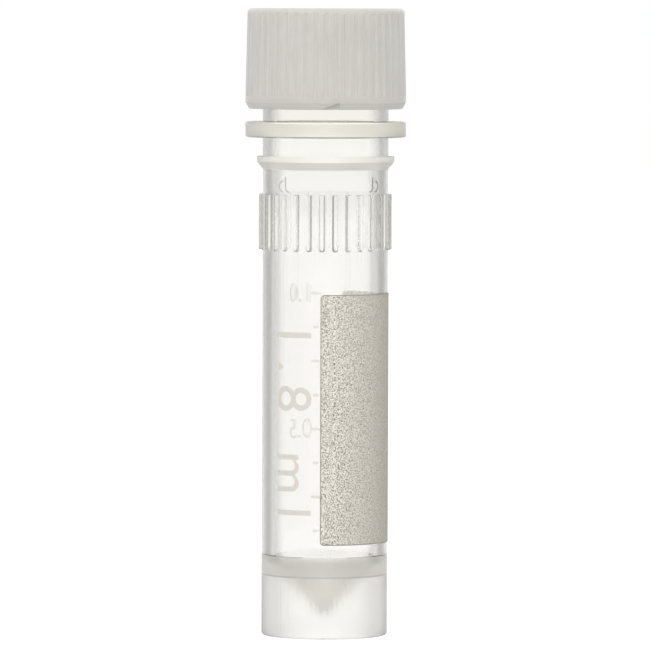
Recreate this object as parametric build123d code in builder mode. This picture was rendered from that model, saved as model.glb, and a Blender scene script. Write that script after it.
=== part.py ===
"""Cryogenic storage vial with an external-thread screw cap, standing closed on its foot.

Millimetres, +Z up. The origin is the centre of the foot's lower rim, on the surface that the
vial stands on. The front is -Y and the writing panel wraps round the right-hand side, +X.
"""

import os
from math import cos, radians, sin, tan

from build123d import *

# Tube, one moulding. Its stretches stack up from the foot's lower rim.
tube_diameter = 9.8
bore_diameter = 7.7
shaft_length = 30.0  # smooth shaft, up to the grip ribs
rib_length = 4.4
rib_to_barb = 1.9
barb_height = 1.0
barb_to_flange = 1.5
flange_thickness = 1.2
neck_length = 7.0  # from the flange to the mouth
flange_diameter = 12.5
flange_chamfer = 0.15
barb_overhang = 0.45
barb_land = 0.4  # straight part of the barb ring, above its slope
lip_chamfer = 0.2
foot_chamfer = 0.12

# Grip ribs on the tube
rib_count = 30
rib_height = 0.3
rib_slope = 0.2  # height of the sloped lower end of each rib
rib_gap = 0.55  # between two ribs, at the foot of their sloped sides
rib_gap_mouth = 0.94  # the same just outside their crests
rib_groove_sink = 0.02
rib_phase = 9.0  # degrees from +X to the first gap

# Conical floor, and the open foot below it with its ring of locking teeth
floor_ring = 1.5  # solid ring that joins wall, floor and skirt
floor_angle = 47.0  # half-angle inside
floor_tip_radius = 0.6
foot_depth = 4.8
skirt_wall = 1.0
cone_rim_radius = 3.3
cone_angle = 43.0  # half-angle outside
cone_tip_radius = 0.4
tooth_count = 72
tooth_depth = 0.08
tooth_width = 0.7

# Screw thread, the same lead on neck and cap
thread_lead = 2.6
thread_width = 1.0  # at its root
thread_crest = 0.45
thread_height = 0.35
thread_clearance = 0.1
ridge_lead_in = 0.2  # smooth wall between the cap's rim and its ridge
mouth_inset = 0.75  # from the middle of the neck's ridge, at its upper end, to the mouth
cap_ridge_turns = 1.2

# Screw cap, one moulding, and the washer that it presses on the mouth
cap_diameter = 12.5
cap_wall = 0.9  # from the threaded bore to the collar's side
cap_gap = 1.0  # between the flange and the cap
cap_roof = 0.8
cap_draft = 1.3  # degrees
collar_height = 1.0
collar_chamfer = 0.5  # up the side
collar_chamfer_in = 0.3  # across the rim
cap_top_chamfer = 0.2
groove_count = 48
groove_width = 0.46  # at the surface
groove_floor = 0.2
groove_depth = 0.1
groove_stop = 0.4  # from the end of the grooves to the cap's top
plug_diameter = 6.4
plug_wall = 0.8
plug_depth = 0.8  # how far the plug reaches into the mouth
washer_thickness = 1.0
washer_inner_clearance = 0.1
washer_outer_clearance = 0.15
nick_width = 1.5  # small ramped nick in the cap's lower rim, just right of the front
nick_height = 0.55
nick_depth = 0.45
nick_offset = 0.35  # from the front to the nick's middle

# Printed writing panel
panel_bottom = 7.3
panel_height = 19.4
panel_start = -94.0  # degrees from +X, just left of the front
panel_sweep = 165.0
panel_corner = 0.3
ink_thickness = 0.05

# Places that follow from the sizes above
SINK = 0.15  # how far a rib or ridge reaches into the wall that carries it
tube_radius = tube_diameter / 2
bore_radius = bore_diameter / 2
flange_radius = flange_diameter / 2
rib_top = shaft_length + rib_length
barb_bottom = rib_top + rib_to_barb
barb_top = barb_bottom + barb_height
flange_bottom = barb_top + barb_to_flange
flange_top = flange_bottom + flange_thickness
mouth = flange_top + neck_length
floor_rim = foot_depth + floor_ring
roof_under = mouth + washer_thickness
cap_top = roof_under + cap_roof
cap_bottom = flange_top + cap_gap
cap_ridge_start = cap_bottom + ridge_lead_in + thread_width / 2
neck_ridge_start = cap_ridge_start + thread_width + thread_clearance
neck_ridge_turns = (mouth - mouth_inset - neck_ridge_start) / thread_lead
collar_top = cap_bottom + collar_height
cap_radius = cap_diameter / 2
cap_top_radius = cap_radius - (cap_top - collar_top) * tan(radians(cap_draft))
cap_bore_radius = cap_radius - cap_wall
neck_radius = cap_bore_radius - thread_clearance - thread_height
plug_radius = plug_diameter / 2


def rounded_cone(rim_radius, rim_height, half_angle, tip_radius):
    """A solid cone that points down, with a ball for its tip."""
    angle = radians(half_angle)
    ball_height = rim_height - rim_radius / tan(angle) + tip_radius / sin(angle)
    with BuildPart() as cone:
        with BuildSketch(Plane.XZ):
            with BuildLine():
                tip = CenterArc((0, ball_height), tip_radius, -90, 90 - half_angle)
                Polyline(tip @ 1, (rim_radius, rim_height), (0, rim_height), tip @ 0)
            make_face()
        revolve(axis=Axis.Z)
    return cone.part


def thread_ridge(wall_radius, inward, height, turns):
    """A right-hand ridge on a round wall, rising from height. Its root is sunk into the wall."""
    side = -1 if inward else 1
    with BuildPart() as ridge:
        with BuildLine():
            helix = Helix(thread_lead, thread_lead * turns, wall_radius, center=(0, 0, height))
        with BuildSketch(Plane(origin=helix @ 0, x_dir=(1, 0, 0), z_dir=helix % 0)):
            Polygon(
                (-side * SINK, -thread_width / 2),
                (side * thread_height, -thread_crest / 2),
                (side * thread_height, thread_crest / 2),
                (-side * SINK, thread_width / 2),
                align=None,
            )
        sweep(path=helix, is_frenet=True)
    return ridge.part


# The ring of grip ribs: sloped at its lower edge, before the grooves between the ribs are cut
rib_crest = tube_radius + rib_height
with BuildPart() as rib_ring:
    with BuildSketch(Plane.XZ):
        with BuildLine():
            Polyline(
                (tube_radius - SINK, shaft_length),
                (tube_radius, shaft_length),
                (rib_crest, shaft_length + rib_slope),
                (rib_crest, rib_top),
                (tube_radius - SINK, rib_top),
                close=True,
            )
        make_face()
    revolve(axis=Axis.Z)

# One flat-floored groove between two ribs, set a touch into the tube's wall
with BuildPart() as rib_groove:
    with BuildSketch(Plane.XY.offset(shaft_length)):
        Polygon(
            (tube_radius - rib_groove_sink, -rib_gap / 2),
            (rib_crest + SINK, -rib_gap_mouth / 2),
            (rib_crest + SINK, rib_gap_mouth / 2),
            (tube_radius - rib_groove_sink, rib_gap / 2),
            align=None,
        )
    extrude(amount=rib_length)

# The hollow under the floor: a toothed bore around the floor's cone
with BuildPart() as foot_hollow:
    with BuildSketch():
        Circle(tube_radius - skirt_wall)
        with PolarLocations(tube_radius - skirt_wall, tooth_count):
            Polygon((-SINK, -tooth_width / 2), (tooth_depth, 0), (-SINK, tooth_width / 2), align=None)
    extrude(amount=foot_depth)
    add(rounded_cone(cone_rim_radius, foot_depth, cone_angle, cone_tip_radius), mode=Mode.SUBTRACT)

with BuildPart() as vial_tube:
    # Outside, from the foot up: shaft, barb ring, hanging flange and neck
    with BuildSketch(Plane.XZ):
        with BuildLine():
            Polyline(
                (0, 0),
                (tube_radius - foot_chamfer, 0),
                (tube_radius, foot_chamfer),
                (tube_radius, barb_bottom),
                (tube_radius + barb_overhang, barb_top - barb_land),
                (tube_radius + barb_overhang, barb_top),
                (tube_radius, barb_top),
                (tube_radius, flange_bottom),
                (flange_radius - flange_chamfer, flange_bottom),
                (flange_radius, flange_bottom + flange_chamfer),
                (flange_radius, flange_top - flange_chamfer),
                (flange_radius - flange_chamfer, flange_top),
                (neck_radius, flange_top),
                (neck_radius, mouth - lip_chamfer),
                (neck_radius - lip_chamfer, mouth),
                (0, mouth),
                close=True,
            )
        make_face()
    revolve(axis=Axis.Z)
    add(rib_ring.part)
    with PolarLocations(0, rib_count, start_angle=rib_phase):
        add(rib_groove.part, mode=Mode.SUBTRACT)
    add(thread_ridge(neck_radius, False, neck_ridge_start, neck_ridge_turns))
    # Bore with its conical floor, and the hollow foot
    with BuildSketch(Plane.XY.offset(floor_rim)):
        Circle(bore_radius)
    extrude(amount=mouth - floor_rim, mode=Mode.SUBTRACT)
    add(rounded_cone(bore_radius, floor_rim, floor_angle, floor_tip_radius), mode=Mode.SUBTRACT)
    add(foot_hollow.part, mode=Mode.SUBTRACT)

# One grip groove, leaning in with the cap's draft. It is cut deep enough outwards to clear the wall.
draft = radians(cap_draft)
groove_plane = Plane((cap_radius, 0, collar_top), x_dir=(0, 1, 0), z_dir=(-sin(draft), 0, cos(draft)))
with BuildPart() as grip_groove:
    with BuildSketch(groove_plane):
        Polygon(
            (-groove_width / 2, -SINK),
            (-groove_width / 2, 0),
            (-groove_floor / 2, groove_depth),
            (groove_floor / 2, groove_depth),
            (groove_width / 2, 0),
            (groove_width / 2, -SINK),
            align=None,
        )
    extrude(amount=(cap_top - groove_stop - collar_top) / cos(draft))

with BuildPart() as screw_cap:
    with BuildSketch(Plane.XZ):
        with BuildLine():
            Polyline(
                (0, cap_bottom),
                (cap_radius, cap_bottom),
                (cap_radius, collar_top),
                (cap_top_radius, cap_top),
                (0, cap_top),
                close=True,
            )
        make_face()
    revolve(axis=Axis.Z)
    chamfer(screw_cap.faces().sort_by(Axis.Z)[-1].edges(), cap_top_chamfer)
    cap_rim = screw_cap.faces().sort_by(Axis.Z)[0]
    chamfer(cap_rim.edges(), collar_chamfer_in, collar_chamfer, reference=cap_rim)
    with PolarLocations(0, groove_count):
        add(grip_groove.part, mode=Mode.SUBTRACT)
    # Nick in the lower rim: a ramp that rises to the right and ends in a step
    with BuildSketch(Plane.XZ.offset(cap_radius - nick_depth)):
        Polygon(
            (nick_offset - nick_width / 2, cap_bottom),
            (nick_offset + nick_width / 2, cap_bottom + nick_height),
            (nick_offset + nick_width / 2, cap_bottom),
            align=None,
        )
    extrude(amount=nick_depth, mode=Mode.SUBTRACT)
    with BuildSketch(Plane.XY.offset(cap_bottom)):
        Circle(cap_bore_radius)
    extrude(amount=roof_under - cap_bottom, mode=Mode.SUBTRACT)
    # Plug ring that holds the washer and guides the cap into the mouth
    with BuildSketch(Plane.XY.offset(mouth - plug_depth)):
        Circle(plug_radius)
        Circle(plug_radius - plug_wall, mode=Mode.SUBTRACT)
    extrude(amount=plug_depth + washer_thickness)
    # The cap's ridge lies under the neck's, a little clear of it
    add(thread_ridge(cap_bore_radius, True, cap_ridge_start, cap_ridge_turns))

with BuildPart() as cap_washer:
    with BuildSketch(Plane.XY.offset(mouth)):
        Circle(cap_bore_radius - washer_outer_clearance)
        Circle(plug_radius + washer_inner_clearance, mode=Mode.SUBTRACT)
    extrude(amount=washer_thickness)

with BuildPart() as writing_panel:
    with BuildSketch(Plane.XY.offset(panel_bottom)):
        with BuildLine():
            outer = CenterArc((0, 0), tube_radius + ink_thickness, panel_start, panel_sweep)
            inner = CenterArc((0, 0), tube_radius, panel_start, panel_sweep)
            Line(outer @ 0, inner @ 0)
            Line(outer @ 1, inner @ 1)
        make_face()
    extrude(amount=panel_height)
    corners = writing_panel.edges().filter_by(lambda e: e.length < 2 * ink_thickness)
    fillet(corners, panel_corner)

vial_tube.part.label = "vial_tube"
screw_cap.part.label = "screw_cap"
cap_washer.part.label = "cap_washer"
writing_panel.part.label = "writing_panel"

os.makedirs("parts", exist_ok=True)
export_step(vial_tube.part, "parts/vial_tube.step")
export_step(screw_cap.part, "parts/screw_cap.step")
export_step(cap_washer.part, "parts/cap_washer.step")
export_step(writing_panel.part, "parts/writing_panel.step")
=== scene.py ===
"""Freezer vial with its screw cap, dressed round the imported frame. Metres, +Z up, front -Y."""

import logging
import math
from collections.abc import Iterable
from dataclasses import dataclass, field
from enum import Enum

import bmesh
import bpy
from mathutils import Matrix, Vector

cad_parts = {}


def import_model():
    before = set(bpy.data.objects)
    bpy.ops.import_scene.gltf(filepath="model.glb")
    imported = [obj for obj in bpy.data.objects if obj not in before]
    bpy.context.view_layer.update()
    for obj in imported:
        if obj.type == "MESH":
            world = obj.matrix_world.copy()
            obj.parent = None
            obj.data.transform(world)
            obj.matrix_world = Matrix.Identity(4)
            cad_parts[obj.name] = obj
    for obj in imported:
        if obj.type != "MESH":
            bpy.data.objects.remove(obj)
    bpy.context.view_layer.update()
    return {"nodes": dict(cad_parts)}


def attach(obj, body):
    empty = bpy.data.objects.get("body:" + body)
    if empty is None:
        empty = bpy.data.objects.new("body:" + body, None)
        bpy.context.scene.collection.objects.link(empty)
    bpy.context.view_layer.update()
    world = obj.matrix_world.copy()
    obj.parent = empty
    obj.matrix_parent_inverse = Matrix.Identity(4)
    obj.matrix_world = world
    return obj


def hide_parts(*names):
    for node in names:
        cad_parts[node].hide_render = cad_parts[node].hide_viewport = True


MM = 0.001
HALF = 0.5
Colour = tuple[float, float, float]
Point = tuple[float, float, float]
Span = tuple[float, float]
Path = list[tuple[float, float]]
Loop = list[bmesh.types.BMVert]
BMesh = bmesh.types.BMesh
Material = bpy.types.Material
Socket = bpy.types.NodeSocket
WHITE: Colour = (1.0, 1.0, 1.0)
WHOLE: Span = (0.0, 1.0)

log = logging.getLogger("freezer_vial")


class Body(Enum):
    """The frame's bodies that the added pieces ride on."""

    VIAL = "vial"


class Reading(Enum):
    """Which way a line of print reads on the standing vial: the turn of its baseline in degrees."""

    UPRIGHT = 0.0
    DOWNWARDS = -90.0


class Wall(Enum):
    """What a ring of the tube's surface carries."""

    PLAIN = "plain"
    RIBBED = "ribbed"
    THREADED = "threaded"
    TOOTHED = "toothed"


class Side(Enum):
    """Where a clear face is seen from: OUTER the air, INNER the plastic itself, BOTH either."""

    OUTER = "outer"
    INNER = "inner"
    BOTH = "both"


class NodeSheet:
    """A material or world being wired: adds nodes and links them."""

    def __init__(self, tree: bpy.types.NodeTree, output: str = "ShaderNodeOutputMaterial") -> None:
        """Empty the tree and start again with its output.

        Args:
            tree: Node tree of the material or world.
            output: Blender's name for the type of its output node.
        """
        self.tree = tree
        tree.nodes.clear()
        self.output = self.add(output)

    def add(self, kind: str, **settings: object) -> bpy.types.Node:
        """Add a node.

        Args:
            kind: Blender's name for the node type.
            **settings: Properties to set on the node.

        Returns:
            The new node.
        """
        node = self.tree.nodes.new(kind)
        for name, value in settings.items():
            setattr(node, name, value)
        return node

    def feed(self, end: Socket, value: object) -> None:
        """Give an input a plain value, or link it to the output that it takes its value from.

        Args:
            end: The input socket.
            value: The plain value or the output socket.
        """
        if isinstance(value, Socket):
            self.tree.links.new(value, end)
        else:
            end.default_value = value

    def fill(self, node: bpy.types.Node, **values: object) -> bpy.types.Node:
        """Feed a node's inputs, named with underscores for spaces.

        Args:
            node: The node to fill.
            **values: Plain values or output sockets, by the input's name.

        Returns:
            The same node.
        """
        for name, value in values.items():
            self.feed(node.inputs[name.replace("_", " ")], value)
        return node

    def calculate(self, how: str, first: Socket, second: Socket | float) -> Socket:
        """Work out one value from two.

        Args:
            how: Blender's name for the operation.
            first: The first value's socket.
            second: The second value, or its socket.

        Returns:
            The result's socket.
        """
        result = self.add("ShaderNodeMath", operation=how)
        self.feed(result.inputs[0], first)
        self.feed(result.inputs[1], second)
        return result.outputs[0]

    def above(self, source: Socket, limit: float) -> Socket:
        """A socket that is 1 where a value is over a limit, else 0."""
        return self.calculate("GREATER_THAN", source, limit)

    def below(self, source: Socket, limit: float) -> Socket:
        """A socket that is 1 where a value is under a limit, else 0."""
        return self.calculate("LESS_THAN", source, limit)

    def either(self, one: Socket, other: Socket) -> Socket:
        """The greater of two values."""
        return self.calculate("MAXIMUM", one, other)

    def both(self, one: Socket, other: Socket) -> Socket:
        """The product of two values."""
        return self.calculate("MULTIPLY", one, other)

    def between(self, source: Socket, low: float, high: float) -> Socket:
        """A socket that is 1 where a value is between two limits, else 0."""
        return self.both(self.above(source, low), self.below(source, high))

    def spread(
        self, source: Socket, start: Span = WHOLE, end: tuple[Socket | float, float] = WHOLE
    ) -> Socket:
        """Bring a value from its starting range to an end range, held at the ends."""
        limits = dict(zip(("From_Min", "From_Max", "To_Min", "To_Max"), (*start, *end)))
        return self.fill(self.add("ShaderNodeMapRange"), Value=source, **limits).outputs["Result"]

    def choose(self, share: Socket, first: Socket, second: Colour | Socket) -> Socket:
        """Mix a colour from a socket with a second one.

        Args:
            share: The second colour's share.
            first: The first colour's socket.
            second: A plain colour, or the second colour's socket.

        Returns:
            The mixed colour's socket.
        """
        if isinstance(second, tuple):
            second = (*second, 1.0)
        mix = self.add("ShaderNodeMix", data_type="RGBA")
        return self.fill(mix, Factor=share, A=first, B=second).outputs["Result"]

    def mix_shaders(self, share: Socket, first: Socket, second: Socket) -> Socket:
        """Mix two shaders.

        Args:
            share: The second shader's share.
            first: The first shader's socket.
            second: The second shader's socket.

        Returns:
            The mixed shader's socket.
        """
        mix = self.add("ShaderNodeMixShader")
        for end, start in zip(mix.inputs, (share, first, second)):
            self.feed(end, start)
        return mix.outputs["Shader"]

    def principled(self, **values: object) -> Socket:
        """Add a principled shader with its inputs fed."""
        return self.fill(self.add("ShaderNodeBsdfPrincipled"), **values).outputs["BSDF"]

    def bare(self) -> Socket:
        """Add a shader that lets everything straight through."""
        return self.add("ShaderNodeBsdfTransparent").outputs["BSDF"]

    def spot(self) -> Socket:
        """The place on the piece."""
        return self.add("ShaderNodeTexCoord").outputs["Object"]

    def along(self, axis: str) -> Socket:
        """The place on the piece along X, Y or Z."""
        return self.fill(self.add("ShaderNodeSeparateXYZ"), Vector=self.spot()).outputs[axis]

    def reach(self) -> Socket:
        """The distance from the vial's axis."""
        flat = self.fill(self.add("ShaderNodeCombineXYZ"), X=self.along("X"), Y=self.along("Y"))
        length = self.add("ShaderNodeVectorMath", operation="LENGTH")
        self.feed(length.inputs[0], flat.outputs[0])
        return length.outputs["Value"]

    def facing(self) -> Socket:
        """How far a wall is turned away: 0 where it is seen square on, 1 edge on."""
        return self.add("ShaderNodeLayerWeight").outputs["Facing"]

    def back(self) -> Socket:
        """A socket that is 1 where a face is seen from inside its own plastic, else 0."""
        return self.add("ShaderNodeNewGeometry").outputs["Backfacing"]

    def noise(self, size: float, detail: float = 3.0) -> Socket:
        """Add a noise pattern fixed to the object, with specks of a width in metres."""
        pattern = self.add("ShaderNodeTexNoise")
        return self.fill(pattern, Vector=self.spot(), Scale=1.0 / size, Detail=detail).outputs["Fac"]

    def ramp(self, source: Socket, stops: Iterable[tuple[float, Colour]]) -> Socket:
        """Add a colour ramp.

        Args:
            source: The factor that the ramp reads.
            stops: Pairs of place and colour, in rising order.

        Returns:
            The colour's socket.
        """
        stops = list(stops)
        node = self.fill(self.add("ShaderNodeValToRGB"), Fac=source)
        elements = node.color_ramp.elements
        while len(elements) < len(stops):
            elements.new(HALF)
        for element, (place, colour) in zip(elements, stops):
            element.position = place
            element.color = (*colour, 1.0)
        return node.outputs["Color"]

    def bump(self, source: Socket, height: float) -> Socket:
        """Bump the surface by a pattern, to a height in metres."""
        return self.fill(self.add("ShaderNodeBump"), Height=source, Distance=height).outputs["Normal"]


def blank_material(name: str) -> tuple[Material, NodeSheet]:
    """Start an empty material.

    Args:
        name: The material's name.

    Returns:
        The material and its node sheet.
    """
    material = bpy.data.materials.new(name)
    material.use_nodes = True
    return material, NodeSheet(material.node_tree)


@dataclass(frozen=True)
class Stretch:
    """A stretch of the tube: its heights above the foot and its distances from the axis."""

    bottom: float
    top: float
    inner: float
    outer: float


SKIRT = Stretch(-0.1 * MM, 4.8 * MM, 3.5 * MM, 5.0 * MM)
FOOT_CONE = Stretch(-0.1 * MM, 4.8 * MM, 0.0, 3.5 * MM)
FLOOR_RING = Stretch(4.8 * MM, 6.3 * MM, 4.4 * MM, 5.0 * MM)
FLOOR_RING_EDGE = Stretch(4.72 * MM, 4.84 * MM, 4.7 * MM, 5.0 * MM)
NECK_UNDER_FLANGE = Stretch(37.35 * MM, 38.75 * MM, 4.4 * MM, 5.0 * MM)
NECK_OVER_FLANGE = Stretch(40.05 * MM, 42.5 * MM, 4.4 * MM, 5.0 * MM)
RIB_BAND = Stretch(29.9 * MM, 34.5 * MM, 4.6 * MM, 6.0 * MM)
BARB_RING = Stretch(36.3 * MM, 37.35 * MM, 4.4 * MM, 5.5 * MM)
FLANGE = Stretch(38.75 * MM, 40.05 * MM, 5.0 * MM, 6.3 * MM)


@dataclass(frozen=True)
class Zone:
    """A stretch of the clear moulding with a surface of its own. Without painted edge shade it has one tint.
    """

    stretch: Stretch
    side: Side
    roughness: float
    clearness: float
    tint: Colour
    # Painted shade where the zone is seen edge on, between the two facing limits
    edge_shade: Colour | None = None
    edge_shade_limits: Span = (0.5, 0.85)
    openness: float = 0.0


@dataclass(frozen=True)
class ClearPolypropylene:
    """Natural polypropylene: see-through, frosted in the thick parts, with painted shade that greys its wall
    where it is seen edge on.
    """

    name: str = "clear_polypropylene"
    # Painted shade on the clear wall: share of light let in, from a wall seen square on (0) to one seen edge
    # on (1)
    edge_shade_curve: tuple[Span, ...] = (
        (0.00, 0.86), (0.20, 0.86), (0.24, 0.84), (0.28, 0.78), (0.33, 0.66), (0.44, 0.57),
        (0.50, 0.43), (0.56, 0.385), (0.62, 0.395), (0.70, 0.50), (0.78, 0.60), (1.00, 0.60),
    )
    warmth: Colour = (0.996, 0.983, 0.935)
    ior: float = 1.49
    roughness: float = 0.04
    clearness: float = 0.97
    inside_radius: float = 4.4 * MM
    loss_density: float = 60.0
    loss_colour: Colour = (0.75, 0.73, 0.63)
    # A later zone lies over an earlier one
    zones: tuple[Zone, ...] = (
        # The skirt and the neck below and above the flange carry painted shade where they are seen edge on
        Zone(
            SKIRT, Side.OUTER, roughness=0.31, clearness=1.0,
            tint=(1.0, 0.985, 0.955), edge_shade=(0.26, 0.255, 0.24),
        ),
        Zone(SKIRT, Side.INNER, roughness=0.40, clearness=1.0, tint=WHITE),
        Zone(FOOT_CONE, Side.BOTH, roughness=0.35, clearness=0.985, tint=(1.0, 0.985, 0.95)),
        Zone(FLOOR_RING, Side.OUTER, roughness=0.35, clearness=0.35, tint=(0.70, 0.68, 0.63)),
        Zone(FLOOR_RING_EDGE, Side.OUTER, roughness=0.35, clearness=0.35, tint=(0.52, 0.51, 0.48)),
        Zone(
            NECK_UNDER_FLANGE, Side.OUTER, roughness=0.04, clearness=0.985,
            tint=(0.99, 0.97, 0.91), edge_shade=(0.28, 0.28, 0.27), edge_shade_limits=(0.26, 0.5),
        ),
        Zone(
            NECK_OVER_FLANGE, Side.OUTER, roughness=0.04, clearness=0.985,
            tint=(0.99, 0.955, 0.85), edge_shade=(0.28, 0.28, 0.27), edge_shade_limits=(0.26, 0.5),
        ),
        Zone(RIB_BAND, Side.INNER, roughness=0.04, clearness=0.97, tint=WHITE, openness=0.8),
        Zone(BARB_RING, Side.OUTER, roughness=0.40, clearness=0.30, tint=(0.93, 0.90, 0.84)),
        Zone(FLANGE, Side.BOTH, roughness=0.30, clearness=0.60, tint=(0.95, 0.93, 0.84)),
    )

    def wall_shade_tint(self, sheet: NodeSheet) -> Socket:
        """Paint shade on the outer wall where it is seen edge on, darkening the light let in.

        Args:
            sheet: The node sheet to build in.

        Returns:
            The tint's colour socket.
        """
        # Squared, because the shader takes the root of its colour at each face
        stops = [
            (place, tuple(part * part * share for share in self.warmth)) for place, part in self.edge_shade_curve
        ]
        plain = sheet.either(sheet.back(), sheet.below(sheet.reach(), self.inside_radius))
        return sheet.choose(plain, sheet.ramp(sheet.facing(), stops), WHITE)

    def zone_tint(self, sheet: NodeSheet, zone: Zone) -> Colour | Socket:
        """Find a zone's tint.

        Args:
            sheet: The node sheet to build in.
            zone: The zone.

        Returns:
            Its one tint, or a socket that goes to its painted edge shade where it is seen edge on.
        """
        if zone.edge_shade is None:
            return zone.tint
        return sheet.ramp(sheet.facing(), zip(zone.edge_shade_limits, (zone.tint, zone.edge_shade)))

    def in_zone(self, sheet: NodeSheet, zone: Zone) -> Socket:
        """Find a zone of the moulding.

        Args:
            sheet: The node sheet to build in.
            zone: The zone.

        Returns:
            A socket that is 1 in the zone, else 0.
        """
        stretch = zone.stretch
        share = sheet.both(
            sheet.between(sheet.along("Z"), stretch.bottom, stretch.top),
            sheet.between(sheet.reach(), stretch.inner, stretch.outer),
        )
        if zone.side is Side.BOTH:
            return share
        if zone.side is Side.INNER:
            return sheet.both(share, sheet.back())
        return sheet.both(share, sheet.below(sheet.back(), HALF))

    def build(self) -> Material:
        """Make the material: the polished wall, with each zone laid over it."""
        material, sheet = blank_material(self.name)
        tint = self.wall_shade_tint(sheet)
        roughness, clearness, openness = self.roughness, self.clearness, 0.0
        for zone in self.zones:
            share = self.in_zone(sheet, zone)
            tint = sheet.choose(share, tint, self.zone_tint(sheet, zone))
            roughness = sheet.spread(share, end=(roughness, zone.roughness))
            clearness = sheet.spread(share, end=(clearness, zone.clearness))
            openness = sheet.spread(share, end=(openness, zone.openness))
        wall = sheet.principled(
            Base_Color=tint, Roughness=roughness, Transmission_Weight=clearness, IOR=self.ior
        )
        loss = sheet.fill(
            sheet.add("ShaderNodeVolumeAbsorption"),
            Color=(*self.loss_colour, 1.0),
            Density=self.loss_density,
        )
        surface = sheet.mix_shaders(openness, wall, sheet.bare())
        sheet.fill(sheet.output, Surface=surface, Volume=loss.outputs["Volume"])
        return material


@dataclass(frozen=True)
class MilkyPolypropylene:
    """Thick natural polypropylene of the cap: milky, softly shining."""

    name: str = "milky_polypropylene"
    pale: Colour = (0.64, 0.62, 0.587)
    deep: Colour = (0.605, 0.585, 0.55)
    ior: float = 1.49
    roughness: float = 0.6
    shine: float = 0.2
    cloud_size: float = 2.5 * MM
    cloud_limits: Span = (0.35, 0.65)
    glow_depth: float = 1.6 * MM
    glow_spread: Colour = (1.0, 0.95, 0.85)
    glow: float = 1.0
    bloom: float = 0.5
    bloom_roughness: float = 0.5
    grain_size: float = 0.12 * MM
    grain_detail: float = 2.0
    grain_height: float = 0.004 * MM
    # Painted light makes the grooves paler, where the surface lies under the wall's own cone; painted shade
    # darkens the top's rim
    collar_top: float = 42.0 * MM
    top: float = 48.8 * MM
    radius: float = 6.25 * MM
    top_radius: float = 6.0957 * MM
    groove_light_limits: Span = (0.02 * MM, 0.12 * MM)
    groove_light: Colour = (0.70, 0.68, 0.642)
    # Colour of the painted shade on the top's rim
    rim: Colour = (0.56, 0.545, 0.515)
    rim_shade_width: float = 0.28 * MM

    def colour(self, sheet: NodeSheet) -> Socket:
        """Cloud the plastic, with painted light that pales the grooves and painted shade that darkens the
        top's rim.

        Args:
            sheet: The node sheet to build in.

        Returns:
            The colour's socket.
        """
        cloud = sheet.ramp(sheet.noise(self.cloud_size), zip(self.cloud_limits, (self.deep, self.pale)))
        height = sheet.along("Z")
        wall = sheet.spread(height, (self.collar_top, self.top), (self.radius, self.top_radius))
        depth = sheet.calculate("SUBTRACT", wall, sheet.reach())
        rim_shade_bottom = self.top - self.rim_shade_width
        # Painted light in the grooves, painted shade round the top's rim
        thin = sheet.both(sheet.spread(depth, self.groove_light_limits), sheet.below(height, rim_shade_bottom))
        side = sheet.above(sheet.reach(), self.top_radius - self.rim_shade_width)
        rim = sheet.both(side, sheet.above(height, rim_shade_bottom))
        return sheet.choose(rim, sheet.choose(thin, cloud, self.groove_light), self.rim)

    def build(self) -> Material:
        """Make the material."""
        material, sheet = blank_material(self.name)
        grain = sheet.noise(self.grain_size, self.grain_detail)
        surface = sheet.principled(
            Base_Color=self.colour(sheet),
            Roughness=self.roughness,
            IOR=self.ior,
            Specular_IOR_Level=self.shine,
            Subsurface_Weight=self.glow,
            Subsurface_Scale=self.glow_depth,
            Subsurface_Radius=self.glow_spread,
            Sheen_Weight=self.bloom,
            Sheen_Roughness=self.bloom_roughness,
            Normal=sheet.bump(grain, self.grain_height),
        )
        sheet.fill(sheet.output, Surface=surface)
        return material


@dataclass(frozen=True)
class SoftSilicone:
    """Pale, matt silicone rubber of the sealing washer."""

    name: str = "silicone"
    pale: Colour = (0.74, 0.73, 0.70)
    deep: Colour = (0.66, 0.65, 0.62)
    ior: float = 1.41
    roughness: float = 0.5
    cloud_size: float = 0.8 * MM
    cloud_limits: Span = (0.3, 0.7)

    def build(self) -> Material:
        """Make the material."""
        material, sheet = blank_material(self.name)
        cloud = sheet.ramp(sheet.noise(self.cloud_size), zip(self.cloud_limits, (self.deep, self.pale)))
        surface = sheet.principled(Base_Color=cloud, Roughness=self.roughness, IOR=self.ior)
        sheet.fill(sheet.output, Surface=surface)
        return material


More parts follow.
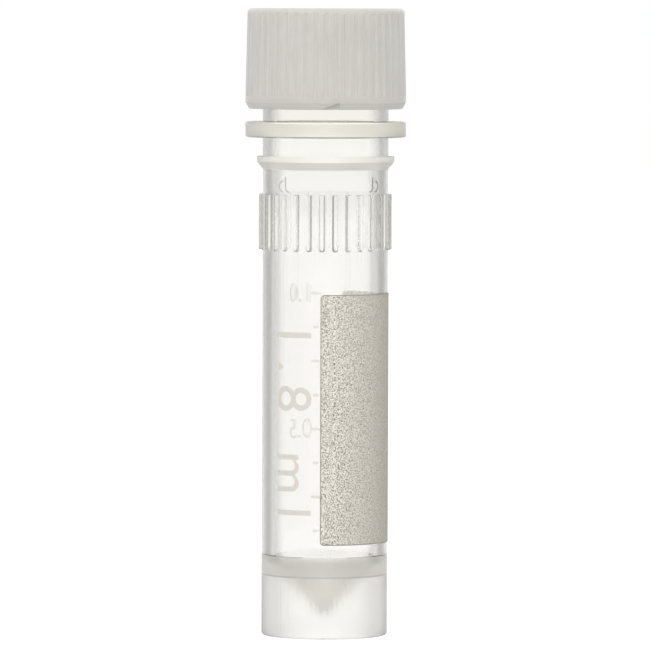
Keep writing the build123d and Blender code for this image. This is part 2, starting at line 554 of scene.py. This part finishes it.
@dataclass(frozen=True)
class PrintedInk:
    """Matt screen-printed ink with a fine grain, thin enough to glow when lit from behind."""

    name: str
    pale: Colour
    deep: Colour
    thin: Colour = (0.95, 0.93, 0.88)
    thick: Colour = (0.60, 0.57, 0.52)
    # Painted shade: the colour goes toward this grey along X, round the side that turns from the light
    side_shade: Colour = (0.5, 0.5, 0.5)
    side_shade_share: float = 0.0
    side_shade_limits: Span = (0.9 * MM, 4.4 * MM)
    grain_limits: Span = (0.39, 0.505)
    grain_size: float = 0.064 * MM
    grain_detail: float = 0.5
    grain_height: float = 0.008 * MM
    glow: float = 0.15
    back_glow: float = 0.9
    ior: float = 1.45
    roughness: float = 0.85
    shine: float = 0.3
    face_radius: float = 4.93 * MM

    def build(self) -> Material:
        """Make the material. Only the film's outer face shows ink, so the film counts as one coat."""
        material, sheet = blank_material(self.name)
        grain = sheet.noise(self.grain_size, self.grain_detail)
        face = sheet.ramp(grain, zip(self.grain_limits, (self.deep, self.pale)))
        # Painted shade along X, darker round the side that turns from the light
        across = sheet.spread(sheet.along("X"), self.side_shade_limits, (0.0, self.side_shade_share))
        ink = sheet.principled(
            Base_Color=sheet.choose(across, face, self.side_shade),
            Roughness=self.roughness,
            IOR=self.ior,
            Specular_IOR_Level=self.shine,
            Normal=sheet.bump(grain, self.grain_height),
        )
        coat = sheet.ramp(grain, zip(self.grain_limits, (self.thick, self.thin)))
        through = sheet.fill(sheet.add("ShaderNodeBsdfTranslucent"), Color=coat).outputs["BSDF"]
        glow = sheet.spread(sheet.back(), end=(self.glow, self.back_glow))
        outer = sheet.above(sheet.reach(), self.face_radius)
        surface = sheet.mix_shaders(outer, sheet.bare(), sheet.mix_shaders(glow, ink, through))
        sheet.fill(sheet.output, Surface=surface)
        return material


def dress(piece: bpy.types.Object, material: Material) -> None:
    """Give a piece one material all over."""
    piece.data.materials.clear()
    piece.data.materials.append(material)


def finish_piece(
    mesh: bpy.types.Mesh, name: str, body: Body, material: Material
) -> bpy.types.Object:
    """Make an object of a mesh, dress it and let it ride on its body.

    Args:
        mesh: The finished mesh, in the frame's own place.
        name: The piece's name.
        body: The body that it moves with.
        material: What it is dressed in.

    Returns:
        The new object.
    """
    piece = bpy.data.objects.new(name, mesh)
    bpy.context.scene.collection.objects.link(piece)
    dress(piece, material)
    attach(piece, body.value)
    return piece


@dataclass(frozen=True)
class Ring:
    """One ring of points round the tube's axis, and what its wall carries."""

    radius: float
    height: float
    wall: Wall = Wall.PLAIN


@dataclass
class VialTube:
    """The tube's moulding: toothed foot, shaft with grip ribs, barb ring, flange and threaded neck."""

    finish: ClearPolypropylene = field(default_factory=ClearPolypropylene)
    node: str = "vial_tube"
    slot: str = "clear_polypropylene"
    outside: float = 4.9 * MM
    bore: float = 3.85 * MM
    mouth: float = 47.0 * MM
    lip: float = 0.2 * MM
    foot_chamfer: float = 0.12 * MM
    hollow: float = 3.9 * MM
    hollow_top: float = 4.8 * MM
    teeth: int = 72
    tooth_depth: float = 0.025 * MM
    tooth_half: float = 0.122 * MM
    cone_rim: float = 3.3 * MM
    cone_angle: float = 43.0
    cone_tip: float = 0.4 * MM
    floor_rim: float = 6.3 * MM
    floor_angle: float = 47.0
    floor_tip: float = 0.6 * MM
    ribs: int = 30
    rib_start: float = 3.0
    rib_bottom: float = 30.0 * MM
    rib_top: float = 34.4 * MM
    rib_height: float = 0.3 * MM
    rib_half_root: float = 0.235 * MM
    rib_half_crest: float = 0.135 * MM
    rib_top_slope: float = 0.04 * MM
    rib_end_steps: int = 5
    barb_bottom: float = 36.3 * MM
    barb_land: float = 36.9 * MM
    barb_top: float = 37.3 * MM
    barb_reach: float = 0.45 * MM
    flange_bottom: float = 38.8 * MM
    flange_top: float = 40.0 * MM
    flange: float = 6.25 * MM
    flange_chamfer: float = 0.10 * MM
    thread_start: float = 42.8 * MM
    thread_lead: float = 2.6 * MM
    thread_turns: float = 1.327
    thread_height: float = 0.35 * MM
    thread_half_root: float = 0.5 * MM
    thread_half_crest: float = 0.225 * MM
    thread_fade: float = 0.02
    strand_steps: int = 8
    row_step: float = 0.12 * MM
    cone_steps: int = 7
    plain_steps: int = 360
    corner_room: float = 0.12
    angle_digits: int = 3
    height_digits: int = 9
    sharp_angle: float = 28.0

    def rib_rise(self, angle: float, height: float) -> float:
        """Height of the grip ribs at a place on the wall. Their lower ends are round.

        Args:
            angle: Degrees from +X.
            height: Height above the foot.

        Returns:
            How far the rib stands out.
        """
        pitch = 360.0 / self.ribs
        off = (angle - self.rib_start + pitch / 2) % pitch - pitch / 2
        across = self.outside * math.radians(abs(off))
        below = max(0.0, self.rib_bottom + self.rib_half_root - height)
        side = (self.rib_half_root - math.hypot(across, below)) / (self.rib_half_root - self.rib_half_crest)
        top = (self.rib_top - height) / self.rib_top_slope
        return self.rib_height * max(0.0, min(1.0, side, top))

    def thread_rise(self, angle: float, height: float) -> float:
        """Height of the screw ridge at a place on the neck.

        Args:
            angle: Degrees from +X.
            height: Height above the foot.

        Returns:
            How far the ridge stands out.
        """
        rise = 0.0
        for turn in range(math.ceil(self.thread_turns)):
            done = angle / 360.0 + turn
            off = abs(height - self.thread_start - self.thread_lead * done)
            slope = (self.thread_half_root - off) / (self.thread_half_root - self.thread_half_crest)
            ends = min(done, self.thread_turns - done) / self.thread_fade + 1.0
            rise = max(rise, min(1.0, slope, ends))
        return self.thread_height * rise

    def tooth_cut(self, angle: float) -> float:
        """Depth of the foot's tooth gaps at an angle in degrees."""
        pitch = 360.0 / self.teeth
        off = (angle + pitch / 2) % pitch - pitch / 2
        return self.tooth_depth * max(0.0, 1.0 - self.hollow * math.radians(abs(off)) / self.tooth_half)

    def reach(self, ring: Ring, angle: float) -> float:
        """Radius of a ring at an angle, with what its wall carries.

        Args:
            ring: The ring.
            angle: Degrees from +X.

        Returns:
            The radius.
        """
        if ring.wall is Wall.RIBBED:
            return ring.radius + self.rib_rise(angle, ring.height)
        if ring.wall is Wall.THREADED:
            return ring.radius + self.thread_rise(angle, ring.height)
        if ring.wall is Wall.TOOTHED:
            return ring.radius + self.tooth_cut(angle)
        return ring.radius

    def angles(self) -> list[float]:
        """Angles of the grid: even steps, with the corners of each rib and tooth among them."""
        digits = self.angle_digits
        marks = {round(360.0 * step / self.plain_steps, digits) for step in range(self.plain_steps)}
        ribs = [self.rib_start + 360.0 * n / self.ribs for n in range(self.ribs)]
        corners = []
        for share in (0.0, self.rib_half_crest / 2, self.rib_half_crest, self.rib_half_root):
            off = math.degrees(share / self.outside)
            corners += [rib + side * off for rib in ribs for side in (-1, 1)]
        off = math.degrees(self.tooth_half / self.hollow)
        corners += [360.0 * n / self.teeth + s * off for n in range(self.teeth) for s in (-1, 0, 1)]
        corners = sorted({round(corner % 360.0, digits) for corner in corners})
        kept = {mark for mark in marks if all(abs(mark - corner) > self.corner_room for corner in corners)}
        return sorted(kept | set(corners))

    def cone(self, rim: float, rim_height: float, angle: float, tip: float) -> list[Ring]:
        """Rings of a cone that points down, from its ball tip up to its rim.

        Args:
            rim: Radius of the rim.
            rim_height: Height of the rim.
            angle: Half-angle in degrees.
            tip: Radius of the ball at the tip.

        Returns:
            The rings, from the tip's pole upwards.
        """
        half = math.radians(angle)
        ball = rim_height - rim / math.tan(half) + tip / math.sin(half)
        turns = [step / self.cone_steps * (math.pi / 2 - half) for step in range(self.cone_steps + 1)]
        rings = [Ring(tip * math.sin(turn), ball - tip * math.cos(turn)) for turn in turns]
        last = rings[-1]
        for step in range(1, self.cone_steps):
            share = step / self.cone_steps
            radius = last.radius + share * (rim - last.radius)
            rings.append(Ring(radius, last.height + share * (rim_height - last.height)))
        return rings + [Ring(rim, rim_height)]

    def strand_offsets(self) -> list[float]:
        """Heights above the ridge's middle of the grid lines that climb in one turn of the thread."""
        root, crest = self.thread_half_root, self.thread_half_crest
        gap = self.thread_lead - 2 * root
        offsets = [-root, -(root + crest) / 2, -crest, 0.0, crest, (root + crest) / 2]
        return offsets + [root + gap * n / self.strand_steps for n in range(self.strand_steps)]

    def strands(self, bottom: float, top: float) -> list[float]:
        """Heights at angle zero of the grid lines that climb with the screw thread.

        Args:
            bottom: Height where the threaded wall starts.
            top: Height where it ends.

        Returns:
            Rising heights that repeat with every lead, with the ridge's four corners among them.
        """
        first = math.floor((bottom - self.thread_start) / self.thread_lead) - 1
        last = math.ceil((top - self.thread_start) / self.thread_lead) + 1
        return [
            self.thread_start + turn * self.thread_lead + offset
            for turn in range(first, last + 1)
            for offset in self.strand_offsets()
        ]

    def threaded_band(
        self, shape: BMesh, angles: list[float], ends: tuple[Ring, Ring], rims: tuple[Loop, Loop]
    ) -> None:
        """Lay the threaded wall between two rings, on grid lines that climb with the ridge.

        Args:
            shape: The mesh to add to.
            angles: The grid's angles.
            ends: The lower and the upper ring.
            rims: Their points.
        """
        low, high = ends
        strands = self.strands(low.height, high.height)
        per_turn = len(self.strand_offsets())
        known: dict[tuple[int, float], bmesh.types.BMVert] = {}

        def point(column: int, strand: int) -> bmesh.types.BMVert:
            """Point of a strand at a column, held between the two rims."""
            height = strands[strand] + self.thread_lead * angles[column] / 360.0
            if height <= low.height:
                return rims[0][column]
            if height >= high.height:
                return rims[1][column]
            key = (column, round(height, self.height_digits))
            if key not in known:
                reach = low.radius + self.thread_rise(angles[column], height)
                turn = math.radians(angles[column])
                known[key] = shape.verts.new((reach * math.cos(turn), reach * math.sin(turn), height))
            return known[key]

        for column in range(len(angles)):
            after = (column + 1) % len(angles)
            shift = 0 if after else per_turn
            for strand in range(len(strands) - 1 - shift):
                corners = [point(column, strand), point(after, strand + shift)]
                corners += [point(after, strand + shift + 1), point(column, strand + 1)]
                corners = list(dict.fromkeys(corners))
                if len(corners) > 2:
                    shape.faces.new(corners)

    def rings(self) -> list[Ring]:
        """The tube's whole surface: cone in the foot, outside, mouth, and down to the bore's floor."""
        out = self.outside
        rib_turn = self.rib_bottom + 2 * self.rib_half_root
        path = self.cone(self.cone_rim, self.hollow_top, self.cone_angle, self.cone_tip)
        path += [
            Ring(self.hollow, self.hollow_top, Wall.TOOTHED),
            Ring(self.hollow, 0.0, Wall.TOOTHED),
            Ring(out - self.foot_chamfer, 0.0),
            Ring(out, self.foot_chamfer),
        ]
        for step in range(self.rib_end_steps + 1):
            rise = step * self.rib_half_root / self.rib_end_steps
            path.append(Ring(out, self.rib_bottom + rise, Wall.RIBBED))
        path += [
            Ring(out, rib_turn, Wall.RIBBED),
            Ring(out, self.rib_top - self.rib_top_slope, Wall.RIBBED),
            Ring(out, self.rib_top),
            Ring(out, self.barb_bottom),
            Ring(out + self.barb_reach, self.barb_land),
            Ring(out + self.barb_reach, self.barb_top),
            Ring(out, self.barb_top),
            Ring(out, self.flange_bottom),
            Ring(self.flange - self.flange_chamfer, self.flange_bottom),
            Ring(self.flange, self.flange_bottom + self.flange_chamfer),
            Ring(self.flange, self.flange_top - self.flange_chamfer),
            Ring(self.flange - self.flange_chamfer, self.flange_top),
            Ring(out, self.flange_top),
        ]
        low = self.thread_start - self.thread_half_root - self.row_step
        path += [Ring(out, low, Wall.THREADED), Ring(out, self.mouth - self.lip, Wall.THREADED)]
        path += [Ring(out - self.lip, self.mouth), Ring(self.bore, self.mouth)]
        floor = self.cone(self.bore, self.floor_rim, self.floor_angle, self.floor_tip)
        return path + floor[::-1]

    def mesh(self) -> bpy.types.Mesh:
        """Spin the rings into one closed surface."""
        angles = self.angles()
        shape = bmesh.new()
        loops = []
        rings = self.rings()
        for ring in rings:
            if ring.radius == 0.0:
                loops.append([shape.verts.new((0.0, 0.0, ring.height))])
                continue
            loop = []
            for angle in angles:
                reach = self.reach(ring, angle)
                turn = math.radians(angle)
                loop.append(shape.verts.new((reach * math.cos(turn), reach * math.sin(turn), ring.height)))
            loops.append(loop)
        for number, (lower, upper) in enumerate(zip(loops, loops[1:])):
            ends = (rings[number], rings[number + 1])
            if all(ring.wall is Wall.THREADED for ring in ends):
                self.threaded_band(shape, angles, ends, (lower, upper))
                continue
            for here in range(len(angles)):
                after = (here + 1) % len(angles)
                corners = [lower[here % len(lower)], lower[after % len(lower)]]
                corners += [upper[after % len(upper)], upper[here % len(upper)]]
                shape.faces.new(list(dict.fromkeys(corners)))
        bmesh.ops.recalc_face_normals(shape, faces=shape.faces)
        for face in shape.faces:
            face.smooth = True
        made = bpy.data.meshes.new(self.node)
        shape.to_mesh(made)
        shape.free()
        made.set_sharp_from_angle(angle=math.radians(self.sharp_angle))
        return made

    def build(self) -> None:
        """Make the tube's smooth moulding, dress it and put it in the plain solid's place."""
        piece = finish_piece(self.mesh(), "tube_moulding", Body.VIAL, self.finish.build())
        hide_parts(self.node)
        log.info("vial tube: %d faces", len(piece.data.polygons))


@dataclass
class Film:
    """A thin printed film bent round the tube."""

    radius: float = 4.905 * MM
    thickness: float = 0.045 * MM
    step: float = 0.25 * MM
    cut_tolerance: float = 1e-8

    def bend(self, flat: BMesh, name: str, angle: float, height: float) -> bpy.types.Mesh:
        """Thicken a flat shape and bend it round the tube.

        Args:
            flat: Shape in the XY plane: X runs round the tube to the right, Y up.
            name: Name of the mesh.
            angle: Where the shape's X = 0 goes, in degrees from +X.
            height: Where its Y = 0 goes.

        Returns:
            The bent mesh.
        """
        reach = self.radius + self.thickness
        sides = [vert.co.x for vert in flat.verts]
        cut = math.floor(min(sides) / self.step) * self.step
        while cut < max(sides):
            bmesh.ops.bisect_plane(
                flat,
                geom=flat.verts[:] + flat.edges[:] + flat.faces[:],
                dist=self.cut_tolerance,
                plane_co=(cut, 0, 0),
                plane_no=(1, 0, 0),
            )
            cut += self.step
        outer = bmesh.ops.extrude_face_region(flat, geom=flat.faces[:])
        for item in outer["geom"]:
            if isinstance(item, bmesh.types.BMVert):
                item.co.z = self.thickness
        for vert in flat.verts:
            turn = math.radians(angle) + vert.co.x / reach
            out = self.radius + vert.co.z
            vert.co = Vector((out * math.cos(turn), out * math.sin(turn), height + vert.co.y))
        bmesh.ops.recalc_face_normals(flat, faces=flat.faces)
        made = bpy.data.meshes.new(name)
        flat.to_mesh(made)
        flat.free()
        return made

    def lay(
        self, flat: BMesh, name: str, angle: float, height: float, slot: str, material: Material
    ) -> bpy.types.Object:
        """Bend a flat shape round the tube as bend does, and make a piece of it."""
        return finish_piece(self.bend(flat, name, angle, height), name, Body.VIAL, material)


def rounded_plate(width: float, height: float, corner: float, steps: int = 6) -> Path:
    """Corner points of a rounded rectangle that is centred on the origin, counter-clockwise.

    Args:
        width: Its width.
        height: Its height.
        corner: Radius of its corners.
        steps: Steps round each corner.

    Returns:
        The points.
    """
    points = []
    for quarter, (side, end) in enumerate(((1, 1), (-1, 1), (-1, -1), (1, -1))):
        for step in range(steps + 1):
            turn = math.pi / 2 * (quarter + step / steps)
            x = side * (width / 2 - corner) + corner * math.cos(turn)
            y = end * (height / 2 - corner) + corner * math.sin(turn)
            points.append((x, y))
    return points


def flat_plate(points: Path) -> BMesh:
    """One flat face through the points."""
    flat = bmesh.new()
    flat.faces.new([flat.verts.new((x, y, 0.0)) for x, y in points])
    return flat


def flat_ring(outer: Path, inner: Path) -> BMesh:
    """A flat band between two loops of as many points.

    Args:
        outer: Points of the outer loop.
        inner: Points of the inner loop.

    Returns:
        The band.
    """
    flat = bmesh.new()
    loops = [[flat.verts.new((x, y, 0.0)) for x, y in loop] for loop in (outer, inner)]
    count = len(outer)
    for here in range(count):
        after = (here + 1) % count
        flat.faces.new([loops[0][here], loops[0][after], loops[1][after], loops[1][here]])
    return flat


def flat_stroke(path: Path, width: float) -> BMesh:
    """A flat line of even width along a path.

    Args:
        path: Points along the middle of the line.
        width: The line's width.

    Returns:
        The line.
    """
    flat = bmesh.new()
    pairs = []
    for here, (x, y) in enumerate(path):
        before, after = path[max(here - 1, 0)], path[min(here + 1, len(path) - 1)]
        along = Vector((after[0] - before[0], after[1] - before[1])).normalized() * width / 2
        pairs.append([flat.verts.new((x + s * along.y, y - s * along.x, 0.0)) for s in (-1, 1)])
    for (low_left, low_right), (left, right) in zip(pairs, pairs[1:]):
        flat.faces.new([low_left, low_right, right, left])
    return flat


def flat_words(words: str, size: float, reading: Reading, spacing: float = 1.0) -> BMesh:
    """Plain figures as a flat shape that is centred on the origin.

    Args:
        words: The figures.
        size: Height of the line.
        reading: Which way the line reads.
        spacing: How far apart the figures stand, 1 being as written.

    Returns:
        The shape.
    """
    curve = bpy.data.curves.new("figures", "FONT")
    curve.body = words
    curve.size = size
    curve.align_x = "CENTER"
    curve.align_y = "CENTER"
    curve.space_character = spacing
    holder = bpy.data.objects.new("figures", curve)
    bpy.context.scene.collection.objects.link(holder)
    bpy.context.view_layer.update()
    lines = bpy.data.meshes.new_from_object(holder.evaluated_get(bpy.context.evaluated_depsgraph_get()))
    bpy.data.objects.remove(holder)
    flat = bmesh.new()
    flat.from_mesh(lines)
    bpy.data.meshes.remove(lines)
    turn = Matrix.Rotation(math.radians(reading.value), 4, "Z")
    bmesh.ops.transform(flat, matrix=turn, verts=flat.verts)
    return flat


@dataclass
class FramePiece:
    """A piece that keeps the frame's own shape and only gets its finish here."""

    finish: MilkyPolypropylene | SoftSilicone
    node: str

    def build(self, nodes: dict[str, bpy.types.Object]) -> None:
        """Dress the frame's own piece, found by name among its CAD nodes."""
        dress(nodes[self.node], self.finish.build())
        log.info("%s dressed in %s", self.node, self.finish.name)


@dataclass
class ScrewCap(FramePiece):
    """The grooved screw cap."""

    finish: MilkyPolypropylene = field(default_factory=MilkyPolypropylene)
    node: str = "screw_cap"


@dataclass
class SealWasher(FramePiece):
    """The washer that the cap presses on the mouth."""

    finish: SoftSilicone = field(default_factory=SoftSilicone)
    node: str = "cap_washer"


@dataclass
class WritingPanel:
    """The off-white printed panel for pencil and marker, with its darker outline."""

    finish: PrintedInk = PrintedInk(
        "panel_ink",
        pale=(1.0, 0.965, 0.885),
        deep=(0.20, 0.18, 0.145),
        thin=(1.0, 0.98, 0.92),
        thick=(0.22, 0.20, 0.17),
        # The last two settings paint shade along X, darker round the panel's right side
        side_shade=(0.59, 0.555, 0.49),
        side_shade_share=0.75,
    )
    # A darker line round the panel's edge
    outline_finish: PrintedInk = PrintedInk(
        "panel_edge_line", pale=(0.36, 0.34, 0.29), deep=(0.28, 0.26, 0.22)
    )
    node: str = "writing_panel"
    slot: str = "white_ink"
    start: float = -94.0
    sweep: float = 165.0
    bottom: float = 7.3 * MM
    height: float = 19.4 * MM
    corner: float = 0.3 * MM
    outline: float = 0.07 * MM
    film: Film = field(default_factory=Film)

    def build(self) -> None:
        """Print the panel round the tube and lay a darker line round its edge."""
        reach = self.film.radius + self.film.thickness
        width = reach * math.radians(self.sweep)
        middle = self.start + self.sweep / 2
        mid_height = self.bottom + self.height / 2
        line = self.outline
        inner = rounded_plate(width - 2 * line, self.height - 2 * line, self.corner - line)
        outer = rounded_plate(width, self.height, self.corner)
        ink, panel_edge_line = self.finish.build(), self.outline_finish.build()
        panel = self.film.lay(flat_plate(inner), "panel_print", middle, mid_height, self.slot, ink)
        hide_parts(self.node)
        edge = flat_ring(outer, inner)
        self.film.lay(edge, "panel_outline", middle, mid_height, self.slot, panel_edge_line)
        log.info("writing panel: %.1f mm round, %.1f mm high", width / MM, self.height / MM)


@dataclass
class Graduations:
    """The volume scale on the far side of the tube: even lines, with figures at the halves."""

    finish: PrintedInk = PrintedInk(
        "scale_ink",
        pale=(0.90, 0.88, 0.83),
        deep=(0.86, 0.84, 0.79),
        thin=(0.98, 0.97, 0.93),
        thick=(0.95, 0.94, 0.90),
    )
    slot: str = "white_ink"
    first: float = 10.4 * MM
    step: float = 5.35 * MM
    figures: tuple[str, ...] = ("", "0.5", "", "1.0")
    line_angle: float = 99.5
    line_length: float = 1.0 * MM
    line_width: float = 0.22 * MM
    width_to_corner: float = 2.1
    line_end_steps: int = 3
    short_share: float = 0.6
    figure_angle: float = 119.0
    figure_size: float = 2.2 * MM
    film: Film = field(default_factory=Film)

    def build(self) -> None:
        """Print the lines and figures."""
        material = self.finish.build()
        for number, words in enumerate(self.figures):
            height = self.first + number * self.step
            for place, share in ((height, 1.0), (height - self.step / 2, self.short_share)):
                corner = self.line_width / self.width_to_corner
                ends = self.line_end_steps
                line = flat_plate(rounded_plate(self.line_length * share, self.line_width, corner, ends))
                name = f"scale_line_{place / MM:.1f}"
                self.film.lay(line, name, self.line_angle, place, self.slot, material)
            if words:
                figures = flat_words(words, self.figure_size, Reading.UPRIGHT)
                name = f"scale_figures_{words}"
                self.film.lay(figures, name, self.figure_angle, height, self.slot, material)
        log.info("graduations: %d steps", len(self.figures))


@dataclass
class CapacityMark:
    """The plain capacity mark that reads down the front of the tube."""

    finish: PrintedInk = PrintedInk(
        "mark_ink",
        pale=(0.86, 0.82, 0.755),
        deep=(0.78, 0.74, 0.68),
        thin=(0.86, 0.83, 0.76),
        thick=(0.74, 0.71, 0.64),
    )
    slot: str = "white_ink"
    words: str = "1.8 ml"
    angle: float = -122.0
    height: float = 17.0 * MM
    size: float = 4.4 * MM
    spacing: float = 1.4
    film: Film = field(default_factory=Film)

    def build(self) -> None:
        """Print the mark."""
        figures = flat_words(self.words, self.size, Reading.DOWNWARDS, self.spacing)
        material = self.finish.build()
        self.film.lay(figures, "capacity_mark", self.angle, self.height, self.slot, material)
        log.info("capacity mark: %s", self.words)


@dataclass
class MouldMarks:
    """Two small hooked lines raised on the tube between the grip ribs and the barb ring, coloured with
    painted shade.
    """

    # The raised lines are clear plastic: their dark colour is painted shade, and the mirrored mark takes a
    # paler copy of it
    finish: PrintedInk = PrintedInk(
        "mould_line",
        pale=(0.40, 0.39, 0.35),
        deep=(0.34, 0.33, 0.30),
        thin=(0.72, 0.71, 0.67),
        thick=(0.66, 0.65, 0.61),
    )
    paler_shade_finish: PrintedInk = PrintedInk(
        "mould_line_paler_shade",
        pale=(0.64, 0.63, 0.59),
        deep=(0.58, 0.57, 0.53),
        thin=(0.86, 0.85, 0.81),
        thick=(0.80, 0.79, 0.75),
    )
    slot: str = "clear_polypropylene"
    places: tuple[tuple[float, int], ...] = ((-42.4, 1), (-128.7, -1))
    height: float = 34.62 * MM
    line_width: float = 0.11 * MM
    stem: float = 1.15 * MM
    hook: float = 0.34 * MM
    bow: float = 0.42 * MM
    bow_offset: float = 0.24 * MM
    steps: int = 8
    film: Film = field(default_factory=Film)

    def paths(self, hand: int) -> list[Path]:
        """Middle lines of the hooked stem and of the bow beside it.

        Args:
            hand: 1 as seen on the right, -1 mirrored.

        Returns:
            The two paths.
        """
        turns = [math.pi / 2 * step / self.steps for step in range(self.steps + 1)]
        stem = [(0.0, self.stem), (0.0, self.hook)]
        stem += [(-self.hook * (1 - math.cos(turn)), self.hook * (1 - math.sin(turn))) for turn in turns[1:]]
        bow = [
            (self.bow_offset + self.bow * math.sin(2 * turn), self.bow * (1 - math.cos(2 * turn)))
            for turn in turns
        ]
        return [[(hand * x, y) for x, y in path] for path in (stem, bow)]

    def build(self) -> None:
        """Raise the lines."""
        materials = {1: self.finish.build(), -1: self.paler_shade_finish.build()}
        for angle, hand in self.places:
            for number, path in enumerate(self.paths(hand)):
                name = f"mould_line_{abs(angle):.0f}_{number}"
                line = flat_stroke(path, self.line_width)
                self.film.lay(line, name, angle, self.height, self.slot, materials[hand])
        log.info("mould marks: %d", len(self.places))


@dataclass
class Studio:
    """Pale floor, white surround, one soft lamp and the camera."""

    aim: Point = (0.0, 0.0, 0.02415)
    camera_place: Point = (0.0, -0.506, 0.04885)
    lens: float = 360.0
    sensor: float = 36.0
    roll: float = 0.19
    fill: float = 0.8
    floor_size: float = 3.0
    floor_colour: Colour = (0.5, 0.5, 0.5)
    floor_lift: float = 0.76
    floor_drop: float = 0.01 * MM
    key_power: float = 2.1
    key_size: float = 0.5
    key_place: Point = (-0.05, -0.62, 0.30)
    near_limit: float = 10.0 * MM

    def seen_directly(self, sheet: NodeSheet) -> Socket:
        """Build a factor that is 1 for what is seen directly, in a reflection or through the plastic.

        Args:
            sheet: The node sheet to build in.

        Returns:
            The factor's socket.
        """
        path = sheet.add("ShaderNodeLightPath")
        seen = sheet.either(path.outputs["Is Camera Ray"], path.outputs["Is Glossy Ray"])
        return sheet.either(seen, path.outputs["Is Transmission Ray"])

    def build_surround(self) -> None:
        """Make the world: white where it is seen, a plain level where it lights."""
        world = bpy.data.worlds.new("studio_surround")
        bpy.context.scene.world = world
        world.use_nodes = True
        sheet = NodeSheet(world.node_tree, "ShaderNodeOutputWorld")
        level = sheet.spread(self.seen_directly(sheet), end=(self.fill, 1.0))
        light = sheet.fill(sheet.add("ShaderNodeBackground"), Color=(*WHITE, 1.0), Strength=level)
        sheet.fill(sheet.output, Surface=light.outputs["Background"])

    def build_floor(self) -> None:
        """Make the pale floor, which keeps the vial's shadow."""
        bpy.ops.mesh.primitive_plane_add(size=self.floor_size, location=(0, 0, -self.floor_drop))
        floor = bpy.context.object
        floor.name = "floor"
        material, sheet = blank_material("pale_floor")
        matt = sheet.fill(sheet.add("ShaderNodeBsdfDiffuse"), Color=(*self.floor_colour, 1.0))
        level = sheet.calculate("MULTIPLY", self.seen_directly(sheet), self.floor_lift)
        lift = sheet.fill(sheet.add("ShaderNodeEmission"), Color=(*WHITE, 1.0), Strength=level)
        both = sheet.add("ShaderNodeAddShader")
        sheet.feed(both.inputs[0], matt.outputs["BSDF"])
        sheet.feed(both.inputs[1], lift.outputs["Emission"])
        sheet.fill(sheet.output, Surface=both.outputs["Shader"])
        dress(floor, material)

    def build_lamp(self) -> None:
        """Hang the square key lamp, which faces the vial."""
        data = bpy.data.lights.new("key_lamp", "AREA")
        data.shape = "SQUARE"
        data.size = self.key_size
        data.energy = self.key_power
        lamp = bpy.data.objects.new("key_lamp", data)
        lamp.location = self.key_place
        turn = (Vector(self.aim) - Vector(self.key_place)).to_track_quat("-Z", "Y")
        lamp.rotation_euler = turn.to_euler()
        bpy.context.scene.collection.objects.link(lamp)

    def build_camera(self) -> None:
        """Place the camera level with the cap's top, looking slightly down."""
        data = bpy.data.cameras.new("camera")
        data.lens = self.lens
        data.sensor_width = self.sensor
        data.clip_start = self.near_limit
        camera = bpy.data.objects.new("camera", data)
        camera.location = self.camera_place
        turn = (Vector(self.aim) - Vector(self.camera_place)).to_track_quat("-Z", "Y").to_matrix()
        lean = turn @ Vector((0.0, 0.0, 1.0))
        camera.rotation_euler = (Matrix.Rotation(math.radians(self.roll), 3, lean) @ turn).to_euler()
        bpy.context.scene.collection.objects.link(camera)
        bpy.context.scene.camera = camera

    def build(self) -> None:
        """Set up the whole studio."""
        bpy.context.scene.view_settings.view_transform = "Standard"
        self.build_surround()
        self.build_floor()
        self.build_lamp()
        self.build_camera()
        log.info("studio set up")


def main() -> None:
    """Load the frame, dress every piece and set up the studio."""
    logging.basicConfig(level=logging.INFO, format="%(name)s: %(message)s")
    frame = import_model()
    nodes = frame["nodes"]
    VialTube().build()
    ScrewCap().build(nodes)
    SealWasher().build(nodes)
    WritingPanel().build()
    Graduations().build()
    CapacityMark().build()
    MouldMarks().build()
    Studio().build()
    bpy.context.view_layer.update()


if __name__ == "__main__":
    main()
